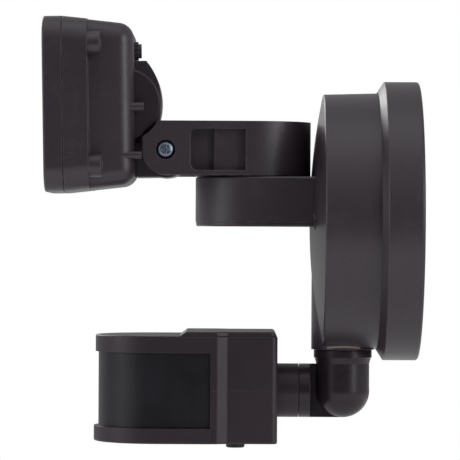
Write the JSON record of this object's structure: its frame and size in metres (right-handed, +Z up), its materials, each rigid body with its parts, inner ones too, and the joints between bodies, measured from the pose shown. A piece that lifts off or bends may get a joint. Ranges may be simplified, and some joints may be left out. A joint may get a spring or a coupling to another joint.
{
  "type": "motion sensor security light",
  "caption": "Wall-mounted outdoor floodlight with a square tilting lamp head on a panning arm, round canopy and an adjustable passive infrared sensor below.",
  "frame": {"origin": "centre of the canopy's back, on the wall plane", "axes": "+Y into the wall, -Y the way the light faces, +Z up, +X to the left as seen from the front"},
  "size_m": [0.14, 0.1876, 0.214],
  "materials": {
    "bronze_cast": "dark bronze powder coat, fine texture",
    "bronze_plastic": "dark bronze moulded plastic, fine texture",
    "bronze_gloss_plastic": "dark bronze moulded plastic, semi-gloss",
    "bronze_screw": "steel screws coated dark bronze",
    "zinc_steel": "blue-zinc plated steel",
    "ground_green": "green dyed zinc plate",
    "foam_seal": "black foam rubber",
    "silicone": "grey silicone",
    "clear_glass": "clear tempered glass",
    "smoked_lens": "smoked polyethylene, glossy",
    "mirror_tray": "metallised plastic",
    "white_board": "white solder mask",
    "phosphor": "yellow phosphor",
    "circuit_board": "green solder mask",
    "black_part": "black moulded plastic",
    "blue_part": "blue sleeve",
    "green_part": "green moulded plastic",
    "nylon": "natural nylon",
    "brass": "turned brass",
    "metal_can": "plated can"
  },
  "bodies": {
    "canopy": {"canopy_cover": "bronze_cast", "canopy_rim": "bronze_cast", "wall_gasket": "foam_seal", "mounting_strap": "zinc_steel", "ground_screw": "ground_green", "canopy_screws": "bronze_screw", "rim_screws": "zinc_steel", "control_board": "circuit_board", "relay": "black_part", "capacitor": "blue_part", "terminal_block": "green_part", "control_board_screws": "zinc_steel", "pivot_bracket": "bronze_cast", "bracket_floor": "bronze_cast", "bracket_floor_screws": "bronze_screw", "bracket_screws": "zinc_steel", "pivot_sleeve": "zinc_steel", "pivot_nut": "zinc_steel"},
    "arm": {"arm_casting": "bronze_cast", "arm_lid": "bronze_cast", "arm_lid_screws": "bronze_screw", "pivot_bush": "nylon", "wave_washer": "zinc_steel", "tilt_screw": "zinc_steel", "tilt_nut": "zinc_steel", "tilt_washers": "zinc_steel"},
    "head": {"bezel": "bronze_cast", "front_lens": "clear_glass", "lens_gasket": "silicone", "reflector": "mirror_tray", "head_housing": "bronze_cast", "led_board": "white_board", "led_emitters": "phosphor", "led_board_screws": "zinc_steel", "bezel_screws": "bronze_screw", "led_driver": "black_part", "breather_plug": "bronze_plastic", "tilt_knuckle": "bronze_cast", "knuckle_discs": "bronze_plastic", "knuckle_screws": "zinc_steel"},
    "elbow": {"elbow_socket": "bronze_gloss_plastic", "elbow_insert": "brass", "elbow_locknut": "bronze_gloss_plastic", "elbow_washer": "nylon"},
    "neck": {"elbow_neck": "bronze_gloss_plastic", "spring_washer": "zinc_steel", "elbow_screw": "zinc_steel"},
    "sensor": {"sensor_upper_shell": "bronze_plastic", "sensor_lower_shell": "bronze_plastic", "sensor_lid": "bronze_plastic", "pir_lens": "smoked_lens", "detector_board": "circuit_board", "detector_can": "metal_can", "dial_board": "circuit_board", "potentiometers": "blue_part", "shell_screws": "zinc_steel", "switch_body": "black_part"},
    "range_dial": {"range_dial": "black_part"},
    "time_dial": {"time_dial": "black_part"},
    "mode_switch": {"mode_switch": "black_part"}
  },
  "joints": [
    {"name": "arm_pan", "type": "hinge", "parent": "canopy", "child": "arm", "pos_m": [0, -0.0829, 0.022], "axis": [0, 0, 1], "range_deg": [-60, 60]},
    {"name": "head_tilt", "type": "hinge", "parent": "arm", "child": "head", "pos_m": [0, -0.1266, 0.03485], "axis": [1, 0, 0], "range_deg": [0, 60]},
    {"name": "sensor_pan", "type": "hinge", "parent": "canopy", "child": "elbow", "pos_m": [0, -0.0374, -0.0648], "axis": [0, 0, 1], "range_deg": [-40, 40]},
    {"name": "sensor_tilt", "type": "hinge", "parent": "elbow", "child": "neck", "pos_m": [0, -0.0374, -0.0854], "axis": [1, 0, 0], "range_deg": [0, 35]},
    {"name": "sensor_roll", "type": "hinge", "parent": "neck", "child": "sensor", "pos_m": [0, -0.0595, -0.0854], "axis": [0, 1, 0], "range_deg": [-15, 15]},
    {"name": "range_turn", "type": "hinge", "parent": "sensor", "child": "range_dial", "pos_m": [-0.012, -0.0913, -0.1109], "axis": [0, 0, -1], "range_deg": [-135, 135]},
    {"name": "time_turn", "type": "hinge", "parent": "sensor", "child": "time_dial", "pos_m": [0.012, -0.0913, -0.1109], "axis": [0, 0, -1], "range_deg": [-135, 135]},
    {"name": "mode_slide", "type": "slide", "parent": "sensor", "child": "mode_switch", "axis": [1, 0, 0], "range_m": [-0.003, 0.003]}
  ]
}
